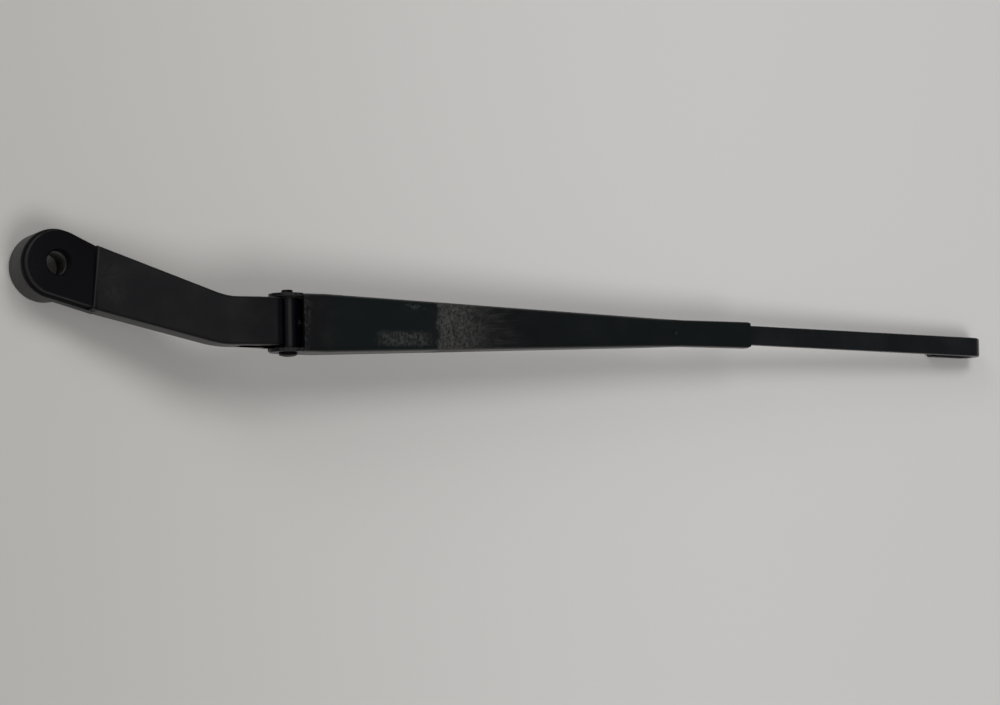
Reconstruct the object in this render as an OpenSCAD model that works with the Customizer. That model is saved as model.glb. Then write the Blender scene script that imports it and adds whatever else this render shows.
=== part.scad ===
// Windscreen wiper arm: a cast head, a sprung hinge, a folded retainer and a flat bar with a J hook.
// Origin: spindle axis at the boss base. +Z runs up the spindle, +X along the arm towards the hook.

/* [Head] */
// Diameter of the boss round the spindle
boss_d = 30.2; // [29:0.2:34]
// Height of the seat that the cap and the spindle nut sit on
boss_h = 24; // [22:0.5:27]
// Diameter of the hole for the threaded end of the spindle
thread_hole_d = 10.7; // [8.5:0.1:12]
// Diameter of the tapered bore at the boss base
taper_d = 12.6; // [12.2:0.1:14]
// Height of the tapered bore
taper_h = 15; // [12:0.5:17]
// Distance from the spindle axis to the hinge axis, measured along the arm
head_reach = 97.4; // [92:0.2:110]
// Distance from the spindle axis to the arm's centre line, measured sideways
head_offset = 25.9; // [22:0.1:30]
// Height of the hinge axis above the boss base
hinge_h = 40; // [38:0.5:44]
// Width of the neck between the hinge ears
neck_w = 21.5; // [19:0.1:24]
// Length of the straight neck, back from the hinge axis
neck_l = 29.5; // [26:0.1:32]
// Thickness of the side walls of the casting
cast_wall = 2.6; // [2:0.1:3.2]
// Thickness of the top skin of the casting
cast_skin = 3; // [2.4:0.1:3.4]
// Thickness of the ribs under the skin
rib_t = 1.8; // [1.2:0.1:2.6]
// Depth of the ribs under the skin
rib_h = 5; // [3:0.5:7]

/* [Cap seat] */
// Height of the raised seat above the ledge round it
seat_step = 6; // [3:0.1:7]
// Width of the ledge round the raised seat
ledge_w = 1.3; // [0.8:0.1:2]
// Depth of the rounded edge below the ledge
shoulder_h = 0.8; // [0.4:0.1:1.5]
// Distance from the spindle axis to the step in front of the seat
seat_reach = 16.3; // [15:0.1:18]
// Angle of that step across the head
seat_angle = 4.9; // [0:0.5:8]
// Height of the step in front of the seat
cover_step = 1.9; // [1:0.1:2.5]

/* [Hinge] */
// Diameter of the hinge pin
pin_d = 5; // [4.6:0.1:5.4]
// Diameter of the pin's head
pin_head_d = 8.2; // [7.4:0.1:9]
// Thickness of the pin's head
pin_head_t = 1.9; // [1.2:0.1:2.4]
// How far the peened end stands out of the ear
pin_end_l = 1.8; // [1:0.1:2.4]
// Running clearance between the pin and its bushes, on the radius
pin_fit = 0.05; // [0.02:0.01:0.09]
// Wall of the hinge bushes
bush_t = 1; // [0.8:0.1:1.2]
// Length of one hinge bush
bush_l = 8; // [6:0.5:10]
// Flange of a hinge bush, between the neck and the ear
bush_flange_t = 0.35; // [0.2:0.05:0.5]
// Clearance between a bush flange and its ear
side_play = 0.1; // [0.05:0.05:0.3]
// Wall of the hinge barrel round the bushes
barrel_wall = 1.7; // [1.4:0.1:1.9]
// Largest lift of the arm off the glass, in degrees
lift_max = 60; // [50:1:60]

/* [Retainer] */
// Thickness of the sheet
sheet_t = 1.5; // [1.2:0.1:1.6]
// Height of the top of the sheet above the hinge axis
sheet_rise = 8; // [7.8:0.1:9]
// Radius of the ears round the hinge pin
ear_r = 8.2; // [7.8:0.1:9]
// Depth of the channel next to the hinge
channel_h = 18; // [16:0.5:20]
// Length of the deep, tapering part of the channel
channel_l = 150; // [140:1:160]
// Distance from the hinge axis to the start of the closed end
crimp_start = 198; // [190:1:210]
// Length of the closed end round the bar
crimp_l = 37; // [30:1:44]
// Clearance between the bar and the closed end
crimp_fit = 0.05; // [0:0.01:0.1]
// Gap between the two folded edges under the bar
seam_w = 1; // [0.4:0.1:2]
// Diameter of the stake mark that locks the bar
stake_d = 4; // [3:0.5:5]
// Gap across the hinge between the plate of the head and the sheet
hinge_gap = 9.5; // [9.3:0.1:11]

/* [Hook bar] */
// Width of the bar
bar_w = 9; // [8:0.1:10]
// Thickness of the bar
bar_t = 4; // [3.6:0.1:4.2]
// Radius of the bar's edges
bar_edge = 0.9; // [0.4:0.1:1.4]
// Distance from the hinge axis to the outside of the hook
bar_reach = 372.8; // [340:1:420]
// Inside radius of the hook
hook_r = 4; // [3:0.1:4.5]
// Length of the straight tail of the hook
tail_l = 15.9; // [12:0.2:20]
// Sideways set of the bar where it leaves the retainer, in degrees
bar_set = 1.1; // [0:0.1:2]
// Thickness of the tongue that the spring hooks on
tongue_t = 2.2; // [1.8:0.1:2.3]

/* [Spring] */
// Diameter of the spring wire
wire_d = 2.2; // [1.8:0.1:2.3]
// Outside diameter of the coil
coil_d = 8.6; // [8:0.1:9.2]
// Mean radius of the spring's end hooks
eye_r = 3.2; // [3.1:0.1:3.4]
// Diameter of the pin in the head that the link hooks on
anchor_d = 3.5; // [3:0.1:3.7]
// Thickness of the link
link_t = 2.5; // [2:0.1:2.6]
// Length of the link between the anchor pin and the spring
link_l = 22; // [21:0.5:26]
// Clearance round the pin and the hooks
hook_fit = 0.2; // [0.15:0.05:0.3]

/* [Hidden] */
$fn = 64;
eps = 0.01;
arc_steps = 6;

boss_r = boss_d / 2;
ledge_z = boss_h - seat_step;
bar_mid_r = hook_r + bar_t / 2;
hook_out_r = hook_r + bar_t;
// Heights in the arm's own frame, which turns about the hinge axis
sheet_under = sheet_rise - sheet_t;
bar_z = sheet_under - crimp_fit - bar_t / 2;
hook_axis_z = bar_z - bar_mid_r;
hook_axis_x = bar_reach - hook_out_r;
// The arm hangs until the hook is level with the boss base
arm_slope = asin((hinge_h + hook_axis_z - hook_out_r) / hook_axis_x);

retainer_w = neck_w + 2 * (bush_flange_t + side_play + sheet_t);
crimp_w = bar_w + 2 * (crimp_fit + sheet_t);
crimp_h = bar_t + 2 * (crimp_fit + sheet_t);
crimp_end = crimp_start + crimp_l;
pin_r = pin_d / 2;
bush_r = pin_r + pin_fit + bush_t;
barrel_r = bush_r + barrel_wall;
half_neck = neck_w / 2;
half_gap = hinge_gap / 2;
plate_end = -half_gap - 0.45;
sheet_start = half_gap - 0.45;

// The anchor pin, seen from the hinge axis: level with it when the arm is fully lifted
anchor_reach = barrel_r + anchor_d / 2 + 2.2;
anchor_angle = -180 + lift_max + 1;
anchor_x = anchor_reach * cos(anchor_angle);
anchor_z = anchor_reach * sin(anchor_angle);
anchor_r = anchor_d / 2;
lug_r = anchor_r + 2.6;

// The spring's line in the arm's frame, from the anchor pin to the tongue of the bar
tongue_x = channel_l - 5;
tongue_z = 1.3;
rest_anchor = turned([anchor_x, anchor_z], arm_slope);
spring_run = [tongue_x, tongue_z] - rest_anchor;
spring_angle = atan2(spring_run[1], spring_run[0]);
spring_l = norm(spring_run);
wire_r = wire_d / 2;
eye_play = 0.2;
eye_hole_r = wire_r + 0.9;
coil_start = link_l + eye_play + 2 * eye_r + wire_r;
coil_end = spring_l - eye_play - 2 * eye_r - wire_r;
coil_mean_r = coil_d / 2 - wire_r;
coil_turns = round((coil_end - coil_start) / (wire_d * 0.96));
coil_pitch = (coil_end - coil_start) / coil_turns;

// Turns a point of the side view about the origin
function turned(p, a) = [p[0] * cos(a) - p[1] * sin(a), p[0] * sin(a) + p[1] * cos(a)];

// Where a side of the head leaves the boss, for turn = 1 or -1: it touches a circle a tuck inside the boss
function touch_angle(p, turn, tuck) = atan2(p[1], p[0]) + turn * acos((boss_r - tuck) / norm(p));
function touch(p, turn, tuck) = (boss_r - tuck) * [cos(touch_angle(p, turn, tuck)), sin(touch_angle(p, turn, tuck))];
function slope(from, to) = (to[1] - from[1]) / (to[0] - from[0]);

// Corners where the slanting sides of the head meet the straight neck
neck_inset = 0.6;
far_corner = [head_reach - neck_l, -head_offset + half_neck];
near_corner = [head_reach - neck_l - 2, -head_offset - half_neck + neck_inset];
far_touch = touch(far_corner, 1, 1.3);
near_touch = touch(near_corner, -1, 0.6);
seat_touch = touch(far_corner, 1, 0.15);
bend_l = 5;
far_slope = slope(far_touch, far_corner);
near_slope = slope(near_touch, near_corner);
seat_slope = slope(seat_touch, far_corner);

// A side of the head in plan: round the boss, straight, a short bend, then along the neck
function side_y(x, start, corner, slope, turn) =
    x < start[0] ? turn * sqrt(max(0, boss_r * boss_r - x * x))
    : x < corner[0] - bend_l ? corner[1] + slope * (x - corner[0])
    : x > corner[0] + bend_l ? corner[1]
    : corner[1] + slope * pow(x - corner[0] - bend_l, 2) / (-4 * bend_l);
function far_y(x) = side_y(x, far_touch, far_corner, far_slope, 1);
function near_y(x) = side_y(x, near_touch, near_corner, near_slope, -1);

// The top of the head in side view: a straight ramp that eases into the level neck
plate_z = hinge_h + sheet_rise - 0.2;
ramp_end = head_reach - neck_l - 8;
ramp_blend = 20;
ramp_slope = (plate_z - boss_h - cover_step) / (ramp_end - seat_reach + ramp_blend / 2);
function top_z(x) =
    x < ramp_end ? boss_h + cover_step + ramp_slope * (x - seat_reach)
    : x > ramp_end + ramp_blend ? plate_z
    : plate_z - ramp_slope * pow(x - ramp_end - ramp_blend, 2) / (2 * ramp_blend);

// The lower edge of the side walls in side view
neck_h = 14;
foot_z = 12;
function low_z(x) = max(foot_z, min(plate_z - neck_h,
    foot_z + (plate_z - neck_h - foot_z) * (x - boss_r) / (ramp_end + 6 - boss_r)));

// Quarter of an ellipse from the side of a corner to its top
function shoulder(y, z, inset, drop, turn) =
    [for (i = [0 : arc_steps]) let (a = 90 * i / arc_steps)
        [y - turn * inset * (1 - cos(a)), z - drop * (1 - sin(a))]];

// One cross-section as an outline: near side, top corners, far side
function head_section(x, y0, y1, z0, z1, inset, drop) =
    let (near = shoulder(y0, z1, inset, drop, -1), far = shoulder(y1, z1, inset, drop, 1))
    [for (p = concat([[y0, z0]], near, [for (i = [arc_steps : -1 : 0]) far[i]], [[y1, z0]]))
        [x, p[0], p[1]]];

// A closed skin over a row of cross-sections with equal numbers of points
module loft(sections) {
    n = len(sections[0]);
    last = len(sections) - 1;
    points = [for (s = sections) for (p = s) p];
    sides = [for (k = [0 : last - 1]) for (i = [0 : n - 1])
        [k * n + i, k * n + (i + 1) % n, (k + 1) * n + (i + 1) % n, (k + 1) * n + i]];
    first_cap = [for (i = [n - 1 : -1 : 0]) i];
    last_cap = [for (i = [0 : n - 1]) last * n + i];
    polyhedron(points, concat(sides, [first_cap, last_cap]), convexity = 6);
}

module at_hinge() {
    translate([head_reach, -head_offset, hinge_h]) children();
}

module in_arm() {
    at_hinge() rotate([0, arm_slope, 0]) children();
}

// Extrudes a side-view outline to a thickness, centred on the arm's centre line
module side_plate(thickness) {
    rotate([90, 0, 0]) translate([0, 0, -thickness / 2]) linear_extrude(thickness) children();
}

module cross_cylinder(r, l, y = 0) {
    translate([0, y, 0]) rotate([90, 0, 0]) cylinder(r = r, h = l, center = true);
}

// Head

head_end = head_reach + plate_end;
ramp_x = concat([for (i = [0 : 3]) ramp_end * (i + 0.9) / 4], [ramp_end]);
neck_x = [for (i = [1 : 8]) ramp_end + (ramp_blend + 4) * i / 8];
head_x = concat([seat_reach - 3], [for (x = ramp_x) if (x > seat_reach + 4) x], neck_x, [head_end]);

module head_upper() {
    edge = 1.5;
    difference() {
        loft([for (x = head_x) head_section(x, near_y(x), far_y(x), low_z(x), top_z(x), edge, edge)]);
        translate([seat_reach, 0, ledge_z]) rotate([0, 0, -seat_angle])
            translate([-boss_d, -2 * boss_d, 0]) cube([boss_d, 4 * boss_d, boss_h]);
    }
}

// The head between the boss and the ramp in plan, drawn in from its edge by an inset
function low_ring(inset, z) =
    let (k = (boss_r - inset) / boss_r, x = seat_reach + 1.5, far = seat_touch[1] + seat_slope * (x - seat_touch[0]),
         near_in = inset / cos(atan(near_slope)), far_in = inset / cos(atan(seat_slope)))
    [[near_touch[0] * k, near_touch[1] * k, z], [seat_touch[0] * k, seat_touch[1] * k, z],
     [x, far - far_in, z], [x, near_y(x) + near_in, z]];

module boss_body() {
    bend = shoulder(0, ledge_z, ledge_w / 2, shoulder_h, -1);
    rotate_extrude($fn = 96)
        polygon(concat([[0, 0]], [for (b = concat([[0, 0]], bend)) [boss_r - b[0], b[1]]], [[0, ledge_z]]));
    loft([for (b = concat([[0, foot_z]], bend)) low_ring(b[0], b[1])]);
}

module cap_seat() {
    ring = low_ring(ledge_w, 0);
    translate([0, 0, ledge_z - 1]) linear_extrude(seat_step + 1) {
        circle(r = boss_r - ledge_w, $fn = 96);
        polygon([for (p = ring) [p[0], p[1]]]);
    }
}

module head_cavity() {
    cavity_x = concat([boss_r + 3.5], [for (x = head_x) if (x > boss_r + 6) x], [head_end + 1]);
    difference() {
        loft([for (x = cavity_x)
            head_section(x, near_y(x) + cast_wall, far_y(x) - cast_wall, low_z(x) - 8, top_z(x) - cast_skin, 1, 1)]);
        head_ribs(cavity_x);
    }
}

// Two ribs across the neck and one along it, each following the skin
module head_ribs(cavity_x) {
    difference() {
        union() {
            for (x = [0.38, 0.58] * head_reach)
                translate([x, -2 * head_offset, 0]) cube([rib_t, 3 * head_offset, 3 * boss_h]);
            rotate([0, 0, atan2(-head_offset, ramp_end)])
                translate([boss_r, -rib_t / 2, 0]) cube([ramp_end - boss_r + 6, rib_t, 3 * boss_h]);
        }
        loft([for (x = cavity_x)
            head_section(x, near_y(x) + 0.5, far_y(x) - 0.5, low_z(x) - 12, top_z(x) - cast_skin - rib_h, 1, 1)]);
    }
}

module hinge_end() {
    web = [[plate_end - 10, 5], [plate_end, 5], [plate_end, 3], [0, 0], [-3.2, -3.6], [-6, -1.8]];
    cheek = [[plate_end - 17, -5.6], [anchor_x - 3.4, anchor_z - 2.8], [anchor_x + 3.2, anchor_z - 3],
             [4.2, -3], [0, 0], [plate_end, 3], [plate_end - 17, 3]];
    at_hinge() {
        cross_cylinder(barrel_r, neck_w);
        side_plate(neck_w - 2 * neck_inset) polygon(web);
        for (s = [-1, 1])
            translate([0, s * (half_neck - neck_inset - cast_wall / 2 - 0.2), 0]) side_plate(cast_wall + 0.4) {
                polygon(cheek);
                translate([anchor_x, anchor_z]) circle(r = lug_r);
            }
    }
    in_arm() stop_lugs();
}

// Two lugs that the sheet comes down on when nothing holds the arm up, with a slot for the link between them
module stop_lugs() {
    inner = link_t / 2 + 0.35;
    lug_w = half_neck - 0.15 - inner;
    top = sheet_under - 0.3;
    for (s = [-1, 1])
        translate([0, s * (inner + lug_w / 2), 0])
            side_plate(lug_w) polygon([[0, 0], [4.4, -1.5], [6.5, -7], [13.5, -9], [13.5, -5.5], [9.5, -2],
                                       [9.5, top], [6.8, top], [4.4, 1.5]]);
}

module arm_head() {
    color("#26272b") difference() {
        union() {
            boss_body();
            cap_seat();
            difference() {
                head_upper();
                head_cavity();
            }
            hinge_end();
        }
        translate([0, 0, -eps]) cylinder(d = thread_hole_d, h = boss_h + 1);
        translate([0, 0, -eps]) cylinder(d1 = taper_d, d2 = thread_hole_d + 0.3, h = taper_h);
        at_hinge() {
            cross_cylinder(bush_r, neck_w + 1);
            translate([anchor_x, 0, anchor_z]) cross_cylinder(anchor_r, neck_w + 1);
        }
    }
}

// Hinge

module hinge_bush(side) {
    flange_r = barrel_r - 0.4;
    color("#4a4a44") at_hinge() difference() {
        union() {
            cross_cylinder(bush_r, bush_l, side * (half_neck - bush_l / 2));
            cross_cylinder(flange_r, bush_flange_t, side * (half_neck + bush_flange_t / 2));
        }
        cross_cylinder(pin_r + pin_fit, 2 * retainer_w);
    }
}

module hinge_bush_near() {
    hinge_bush(-1);
}

module hinge_bush_far() {
    hinge_bush(1);
}

module hinge_pin() {
    ear = retainer_w / 2;
    chamfer = 0.5;
    profile = [[0, -ear - pin_head_t], [pin_head_d / 2 - 1.1, -ear - pin_head_t],
               [pin_head_d / 2 - 0.3, -ear - pin_head_t + 0.4], [pin_head_d / 2, -ear - pin_head_t + 0.9],
               [pin_head_d / 2, -ear], [pin_r, -ear], [pin_r, ear + pin_end_l - chamfer],
               [pin_r - chamfer, ear + pin_end_l], [0, ear + pin_end_l]];
    color("#1d1e20") at_hinge() rotate([-90, 0, 0]) rotate_extrude() polygon(profile);
}

// Spring and its link

module anchor_pin() {
    color("#3c3d3f") at_hinge() translate([anchor_x, 0, anchor_z]) cross_cylinder(anchor_r, neck_w - 2 * neck_inset - 0.6);
}

// Puts its children on the spring's line: X from the anchor pin along the spring
module on_spring_line() {
    in_arm() translate([rest_anchor[0], 0, rest_anchor[1]]) rotate([0, -spring_angle, 0]) children();
}

module spring_link() {
    arc_w = 3;
    hook_out = anchor_r + hook_fit + 2.6;
    // Where the hinge barrel lies, seen from the link, when the arm is fully lifted
    barrel_at = turned([-anchor_x, -anchor_z], arm_slope - spring_angle - lift_max * 0.97);
    arc_in = barrel_r + 0.8;
    shank_h = 5.2;
    color("#55554f") on_spring_line() side_plate(link_t) difference() {
        union() {
            difference() {
                circle(r = hook_out);
                polygon([[0, 0], 20 * [cos(-55), sin(-55)], [20, 10], 20 * [cos(108), sin(108)]]);
            }
            difference() {
                translate(barrel_at) circle(r = arc_in + arc_w);
                translate(barrel_at) circle(r = arc_in);
                translate([-20, barrel_at[1] - 1.4]) square([60, 30]);
            }
            translate([barrel_at[0] + arc_in + 0.1, -shank_h / 2])
                square([link_l - barrel_at[0] - arc_in, shank_h]);
            translate([link_l, 0]) circle(d = 2 * wire_r + 5.4);
        }
        circle(r = anchor_r + hook_fit);
        translate(barrel_at) circle(r = arc_in);
        translate([link_l, 0]) circle(r = eye_hole_r);
    }
}

// One end hook of the spring: a ring of wire, open on the side given by its turn
module spring_eye() {
    rotate_extrude() translate([eye_r, 0]) circle(r = wire_r, $fn = 20);
}

module tension_spring() {
    lead = coil_mean_r + wire_r * 0.2;
    color("#8c8d8f") on_spring_line() {
        translate([coil_start, 0, 0]) rotate([0, 90, 0]) rotate_extrude($fn = 32)
            for (i = [0 : coil_turns])
                translate([coil_mean_r, i * coil_pitch]) circle(r = wire_r, $fn = 16);
        translate([coil_start - wire_r - eye_r, 0, 0]) spring_eye();
        translate([coil_end + wire_r + eye_r, 0, 0]) rotate([90, 0, 0]) spring_eye();
        translate([coil_start - wire_r * 0.6, 0, -lead]) cylinder(r = wire_r, h = 2 * lead, $fn = 20);
        translate([coil_end + wire_r * 0.6, 0, -lead]) cylinder(r = wire_r, h = 2 * lead, $fn = 20);
    }
}

// Retainer

function sheet_section(x, half, z0, z1, r_top, r_low) =
    let (near = shoulder(-half, z1, r_top, r_top, -1), far = shoulder(half, z1, r_top, r_top, 1),
         low = [for (i = [0 : arc_steps]) let (a = 90 * i / arc_steps)
             [half - r_low * (1 - cos(a)), z0 + r_low * (1 - sin(a))]])
    [for (p = concat([for (i = [arc_steps : -1 : 0]) [-low[i][0], low[i][1]]], near,
                     [for (i = [arc_steps : -1 : 0]) far[i]], low))
        [x, p[0], p[1]]];

taper_start = 16;
closed_low = sheet_rise - crimp_h;
channel_end_h = crimp_h + 3.2;

// Half width and lower edge of the folded sheet at a distance from the hinge axis
function sheet_half(x) =
    (x < taper_start ? retainer_w
     : x > crimp_start ? crimp_w
     : retainer_w + (crimp_w - retainer_w) * (x - taper_start) / (crimp_start - taper_start)) / 2;
function sheet_low(x) =
    x <= sheet_start ? -ear_r
    : x <= taper_start ? -ear_r + (sheet_rise - channel_h + ear_r) * (x - sheet_start) / (taper_start - sheet_start)
    : x <= channel_l ? sheet_rise - channel_h + (channel_h - channel_end_h) * (x - taper_start) / (channel_l - taper_start)
    : x <= crimp_start ? sheet_rise - channel_end_h + (channel_end_h - crimp_h) * (x - channel_l) / (crimp_start - channel_l)
    : closed_low;

module ears() {
    outline_end = sheet_start + 4;
    for (s = [-1, 1])
        translate([0, s * (retainer_w - sheet_t) / 2, 0]) side_plate(sheet_t) {
            intersection() {
                circle(r = ear_r);
                translate([-ear_r, -ear_r]) square([ear_r + sheet_start, 2 * ear_r]);
            }
            polygon([[0, -ear_r], [outline_end, sheet_low(outline_end)], [outline_end, sheet_rise - 3],
                     [0, sheet_rise - 3]]);
        }
}

module retainer() {
    fold_r = 2.4;
    inside_r = fold_r - sheet_t;
    outer_x = [sheet_start, taper_start, channel_l, crimp_start];
    corner_cut = 1;
    color("#232629") in_arm() {
        difference() {
            union() {
                loft([for (x = outer_x) sheet_section(x, sheet_half(x), sheet_low(x), sheet_rise, fold_r, 0.4)]);
                loft([for (x = [crimp_start, crimp_end])
                    sheet_section(x, sheet_half(x), sheet_low(x), sheet_rise, fold_r * 0.6, fold_r * 0.6)]);
            }
            loft([for (x = [sheet_start - 1, taper_start, channel_l, crimp_start])
                sheet_section(x, sheet_half(x) - sheet_t, sheet_low(x) - 2, sheet_under, inside_r, 0.1)]);
            translate([crimp_start - 1, -bar_w / 2 - crimp_fit, bar_z - bar_t / 2 - crimp_fit])
                cube([crimp_l + 2, bar_w + 2 * crimp_fit, bar_t + 2 * crimp_fit]);
            translate([crimp_start - 1, -seam_w / 2, closed_low - 1]) cube([crimp_l + 2, seam_w, sheet_t + 1.5]);
            for (s = [-1, 1])
                translate([crimp_end, s * crimp_w / 2, 0]) rotate([0, 0, 45])
                    cube([corner_cut, corner_cut, 4 * sheet_rise], center = true);
            translate([crimp_start - 5, 0, sheet_rise + stake_d * 0.35]) sphere(d = stake_d, $fn = 24);
        }
        difference() {
            ears();
            cross_cylinder(pin_r, 2 * retainer_w);
        }
    }
}

// Bar

corners = [[1, 1], [-1, 1], [-1, -1], [1, -1]];
bar_outline = [for (k = [0 : 3]) for (i = [0 : 4]) let (a = 90 * k + 90 * i / 4)
    [corners[k][0] * (bar_t / 2 - bar_edge) + bar_edge * cos(a),
     corners[k][1] * (bar_w / 2 - bar_edge) + bar_edge * sin(a)]];

module bar_section() {
    polygon(bar_outline);
}

// The section as a row of points across the bar, turned in plan about the point (x, y)
function bar_ring(x, y, turn, size = 1) =
    [for (i = [len(bar_outline) - 1 : -1 : 0]) let (p = bar_outline[i] * size)
        [x + p[1] * sin(turn), y + p[1] * cos(turn), -p[0]]];

// Lays the section along X, with its thickness upright
module along_arm(l) {
    rotate([0, 90, 0]) linear_extrude(l) bar_section();
}

module hook_bar() {
    tongue_l = 6;
    tongue_start = tongue_x - 3.7;
    low = tongue_z - bar_z;
    half = bar_t / 2;
    thin = tongue_t / 2;
    straight_start = tongue_x + tongue_l + 4.5;
    free_start = crimp_end + 1;
    free_l = hook_axis_x - free_start;
    set_l = free_l - 1;
    tongue = [[tongue_start, low - thin], [tongue_x + tongue_l, low - thin], [straight_start, -half],
              [straight_start + 2, -half], [straight_start + 2, half], [straight_start - 1, half],
              [tongue_x + tongue_l - 1, low + thin], [tongue_start, low + thin]];
    color("#212427") in_arm() translate([0, 0, bar_z]) {
        difference() {
            union() {
                side_plate(bar_w) polygon(tongue);
                translate([straight_start, 0, 0]) along_arm(free_start - straight_start);
            }
            translate([tongue_x, 0, low]) cylinder(r = eye_hole_r, h = 2 * bar_t, center = true);
            translate([crimp_start - 5, 0, 0]) cylinder(d = stake_d, h = 2 * bar_t, center = true);
        }
        loft([bar_ring(free_start, 0, 0),
              bar_ring(free_start + set_l * cos(bar_set), -set_l * sin(bar_set), bar_set, 0.995)]);
        translate([free_start, 0, 0]) rotate([0, 0, -bar_set]) {
            translate([set_l - 1, 0, 0]) along_arm(free_l - set_l + 1);
            translate([free_l, 0, -bar_mid_r]) rotate([90, 0, 0]) rotate([0, 0, -90])
                rotate_extrude(angle = 180) translate([bar_mid_r, 0]) bar_section();
            translate([free_l - tail_l, 0, -2 * bar_mid_r]) along_arm(tail_l);
        }
    }
}

arm_head();
hinge_bush_near();
hinge_bush_far();
anchor_pin();
spring_link();
hinge_pin();
retainer();
hook_bar();
tension_spring();
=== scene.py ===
import math

import bmesh
import bpy
from mathutils import Matrix, Vector


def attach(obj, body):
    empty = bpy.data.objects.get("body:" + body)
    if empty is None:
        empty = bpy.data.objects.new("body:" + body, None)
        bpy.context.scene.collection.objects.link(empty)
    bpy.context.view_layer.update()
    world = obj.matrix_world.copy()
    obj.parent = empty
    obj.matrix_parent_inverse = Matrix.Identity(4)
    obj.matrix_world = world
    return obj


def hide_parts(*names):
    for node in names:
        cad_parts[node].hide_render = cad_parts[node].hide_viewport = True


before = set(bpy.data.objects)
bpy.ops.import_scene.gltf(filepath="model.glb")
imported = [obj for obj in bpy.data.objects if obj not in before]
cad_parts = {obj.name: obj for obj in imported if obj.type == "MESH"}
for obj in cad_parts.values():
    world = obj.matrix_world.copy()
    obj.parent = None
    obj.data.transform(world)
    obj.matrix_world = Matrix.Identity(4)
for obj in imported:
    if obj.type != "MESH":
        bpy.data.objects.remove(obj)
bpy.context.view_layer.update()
mm = 0.001


# A rounded edge in profile: it ends at y, z, and turn says which side the piece lies on
def corner(y, z, inset, drop, turn, steps):
    points = []
    for i in range(steps + 1):
        a = math.pi / 2 * i / steps
        points.append((y - turn * inset * (1 - math.cos(a)), z - drop * (1 - math.sin(a))))
    return points


# A point turned about the origin
def turned(x, z, degrees):
    a = math.radians(degrees)
    return x * math.cos(a) - z * math.sin(a), x * math.sin(a) + z * math.cos(a)


# A closed skin over rings of points, all with the same number of points
def skin(bm, rings):
    rows = [[bm.verts.new(Vector(p) * mm) for p in ring] for ring in rings]
    count = len(rows[0])
    for a, b in zip(rows, rows[1:]):
        for i in range(count):
            j = (i + 1) % count
            bm.faces.new((a[i], a[j], b[j], b[i]))
    bm.faces.new(rows[0][::-1])
    bm.faces.new(rows[-1])


# A turned piece about the Z axis
def spun(bm, profile, steps):
    verts = [bm.verts.new(Vector((r, 0, z)) * mm) for r, z in profile]
    edges = [bm.edges.new(pair) for pair in zip(verts, verts[1:])]
    bmesh.ops.spin(bm, geom=verts + edges, cent=(0, 0, 0), axis=(0, 0, 1), angle=math.tau, steps=steps,
                   use_merge=True)
    bmesh.ops.remove_doubles(bm, verts=bm.verts, dist=1e-7)


# An object from a bmesh, which rides on the body if one is named
def finished(bm, name, material, body, smooth=32):
    bmesh.ops.recalc_face_normals(bm, faces=bm.faces)
    mesh = bpy.data.meshes.new(name)
    bm.to_mesh(mesh)
    bm.free()
    mesh.shade_smooth()
    mesh.set_sharp_from_angle(angle=math.radians(smooth))
    made = bpy.data.objects.new(name, mesh)
    bpy.context.scene.collection.objects.link(made)
    mesh.materials.append(material)
    if body:
        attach(made, body)
    return made


# A socket that takes part in expressions, each of which adds its nodes
class Wire:
    def __init__(self, tree, socket=None):
        self.tree = tree
        self.socket = socket

    def node(self, kind, inputs=None, out=0, **settings):
        made = self.tree.nodes.new("ShaderNode" + kind)
        for key, value in settings.items():
            setattr(made, key, value)
        for key, value in (inputs or {}).items():
            if isinstance(value, Wire):
                self.tree.links.new(value.socket, made.inputs[key])
            elif value is not None:
                made.inputs[key].default_value = value
        return Wire(self.tree, made.outputs[out] if made.outputs else None)

    def calc(self, operation, a, b=None):
        return self.node("Math", {0: a, 1: b}, operation=operation)

    def __add__(self, other):
        return self.calc("ADD", self, other)

    def __sub__(self, other):
        return self.calc("SUBTRACT", self, other)

    def __mul__(self, other):
        return self.calc("MULTIPLY", self, other)

    def __rsub__(self, other):
        return self.calc("SUBTRACT", other, self)

    def most(self, other):
        return self.calc("MAXIMUM", self, other)

    def size(self):
        return self.calc("ABSOLUTE", self)

    def rise(self, low, high, top=1.0):
        return self.node("MapRange", {"Value": self, "From Min": low, "From Max": high, "To Max": top},
                         interpolation_type="SMOOTHSTEP")

    def band(self, low, high, soft):
        return self.rise(low - soft, low + soft) * self.rise(high + soft, high - soft)

    def stretched(self, x, y, z):
        return self.node("VectorMath", {0: self, 1: (x, y, z)}, operation="MULTIPLY")

    def axis(self, which):
        return self.node("SeparateXYZ", {0: self}, out=which)

    def noise(self, scale, detail=3.0, rough=0.55):
        return self.node("TexNoise", {"Vector": self, "Scale": scale, "Detail": detail, "Roughness": rough})

    def mix(self, a, b):
        return self.node("Mix", {0: self, 6: a, 7: b}, out=2, data_type="RGBA")


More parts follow.
